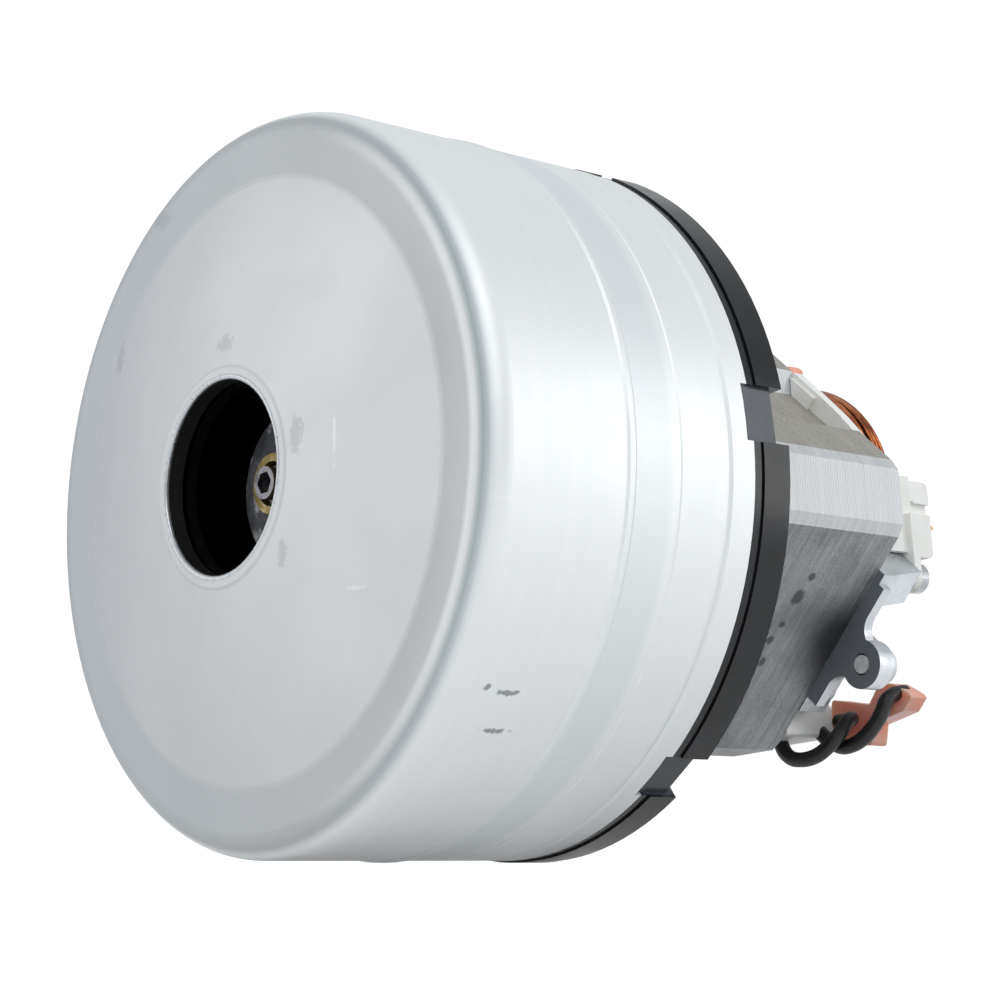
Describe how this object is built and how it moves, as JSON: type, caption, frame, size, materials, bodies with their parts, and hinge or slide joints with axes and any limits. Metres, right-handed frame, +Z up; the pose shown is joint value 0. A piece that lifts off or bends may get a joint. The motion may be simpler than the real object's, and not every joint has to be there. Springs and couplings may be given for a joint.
{
  "type": "vacuum motor unit",
  "caption": "Through-flow vacuum motor: sheet-steel fan can with a central inlet, black bracket ring, square laminated stator, die-cast end bracket and white brush holders.",
  "frame": {"origin": "centre of the inlet hole at its front lip", "axes": "+Y runs along the shaft from the inlet to the brush end, +Z up, +X to the side"},
  "size_m": [0.1448, 0.1744, 0.1448],
  "materials": {
    "galvanised_steel": "satin galvanised sheet",
    "bright_steel": "turned and plated",
    "core_steel": "stacked punched laminations",
    "die_cast": "fine as-cast grain",
    "sheet_aluminium": "rolled sheet",
    "black_plastic": "moulded, faint sheen",
    "dark_plastic": "moulded",
    "white_plastic": "moulded insulating plastic",
    "copper_wire": "enamelled wire",
    "copper_bar": "turned copper segments",
    "brass": "stamped or turned",
    "carbon": "pressed carbon",
    "spring_steel": "drawn wire",
    "salmon_plastic": "moulded connector cover",
    "black_rubber": "lead insulation"
  },
  "bodies": {
    "motor_body": {"brush_holder_left": "white_plastic", "brush_holder_right": "white_plastic", "brush_spring_left": "spring_steel", "brush_spring_right": "spring_steel", "brush_terminal_left": "brass", "brush_terminal_right": "brass", "brush_tube_left": "brass", "brush_tube_right": "brass", "coil_formers_lower": "white_plastic", "coil_formers_upper": "white_plastic", "diffuser": "dark_plastic", "ear_screws": "bright_steel", "end_bracket": "die_cast", "fan_end_bracket": "black_plastic", "fan_housing": "galvanised_steel", "field_core_lower": "copper_wire", "field_core_upper": "copper_wire", "field_winding_lower": "copper_wire", "field_winding_upper": "copper_wire", "flag_connector": "salmon_plastic", "front_bearing_outer": "bright_steel", "interstage_guide": "sheet_aluminium", "lead_lower_long": "black_rubber", "lead_lower_short": "black_rubber", "lead_upper": "black_rubber", "rear_bearing_outer": "bright_steel", "stage2_inlet_plate": "sheet_aluminium", "stator_core": "core_steel", "straight_connector": "salmon_plastic", "terminal_block_lower": "white_plastic", "terminal_block_upper": "white_plastic", "terminal_tab_lower": "brass", "terminal_tab_upper": "brass", "through_bolts_long": "bright_steel", "through_bolts_short": "bright_steel"},
    "rotor": {"shaft": "bright_steel", "shaft_nut": "bright_steel", "brass_washer": "brass", "clamp_washers": "bright_steel", "spacer_sleeves": "bright_steel", "fan1_front_plate": "sheet_aluminium", "fan1_blades": "sheet_aluminium", "fan1_back_plate": "sheet_aluminium", "fan2_front_plate": "sheet_aluminium", "fan2_blades": "sheet_aluminium", "fan2_back_plate": "sheet_aluminium", "armature_core": "core_steel", "armature_winding": "copper_wire", "commutator_bars": "copper_bar", "commutator_hub": "dark_plastic", "front_bearing_inner": "bright_steel", "rear_bearing_inner": "bright_steel"},
    "front_cage": {"front_bearing_cage": "dark_plastic", "front_bearing_balls": "bright_steel"},
    "rear_cage": {"rear_bearing_cage": "dark_plastic", "rear_bearing_balls": "bright_steel"},
    "brush_right": {"carbon_brush_right": "carbon"},
    "brush_left": {"carbon_brush_left": "carbon"}
  },
  "joints": [
    {"name": "rotor_spin", "type": "hinge", "parent": "motor_body", "child": "rotor", "pos_m": [0, 0.12, 0], "axis": [0, 1, 0], "continuous": true},
    {"name": "front_cage_spin", "type": "hinge", "parent": "motor_body", "child": "front_cage", "pos_m": [0, 0.0695, 0], "axis": [0, 1, 0], "continuous": true},
    {"name": "rear_cage_spin", "type": "hinge", "parent": "motor_body", "child": "rear_cage", "pos_m": [0, 0.1699, 0], "axis": [0, 1, 0], "continuous": true},
    {"name": "brush_slide_right", "type": "slide", "parent": "motor_body", "child": "brush_right", "axis": [0.9962, 0, 0.0872], "range_m": [0, 0.0035], "stiffness_N_per_m": 100, "springref_m": -0.008, "deforming": ["brush_spring_right"]},
    {"name": "brush_slide_left", "type": "slide", "parent": "motor_body", "child": "brush_left", "axis": [-0.9962, 0, -0.0872], "range_m": [0, 0.0035], "stiffness_N_per_m": 100, "springref_m": -0.008, "deforming": ["brush_spring_left"]}
  ],
  "couplings": [
    {"joint": "front_cage_spin", "follows": "rotor_spin", "ratio": 0.368},
    {"joint": "rear_cage_spin", "follows": "rotor_spin", "ratio": 0.368}
  ]
}
